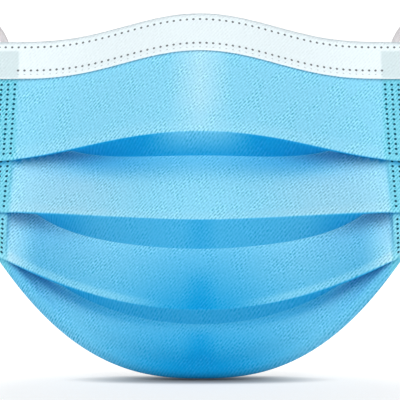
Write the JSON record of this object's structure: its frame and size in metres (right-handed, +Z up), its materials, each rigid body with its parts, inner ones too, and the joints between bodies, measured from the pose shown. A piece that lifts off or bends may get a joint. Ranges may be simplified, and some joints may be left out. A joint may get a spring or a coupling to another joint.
{
  "type": "disposable pleated face mask",
  "caption": "Pleated nonwoven face mask with a folded nose band and elastic ear loops, opened out over the face as it is worn.",
  "frame": {"origin": "inside face of the nose band in the middle, where it sits on the bridge of the nose, 7 mm below the blue sheet's top edge", "axes": "+X from side edge to side edge, to the right as seen by someone facing the wearer; +Y back to the wearer's face; +Z up"},
  "size_m": [0.1772, 0.0893, 0.144],
  "materials": {
    "outer_fabric": "matte spunbond nonwoven",
    "band_fabric": "matte spunbond nonwoven",
    "elastic": "knitted elastic cord"
  },
  "bodies": {
    "root": {"pleated_body": "outer_fabric", "nose_band": "band_fabric", "ear_loop_right": "elastic", "ear_loop_left": "elastic"}
  },
  "joints": []
}
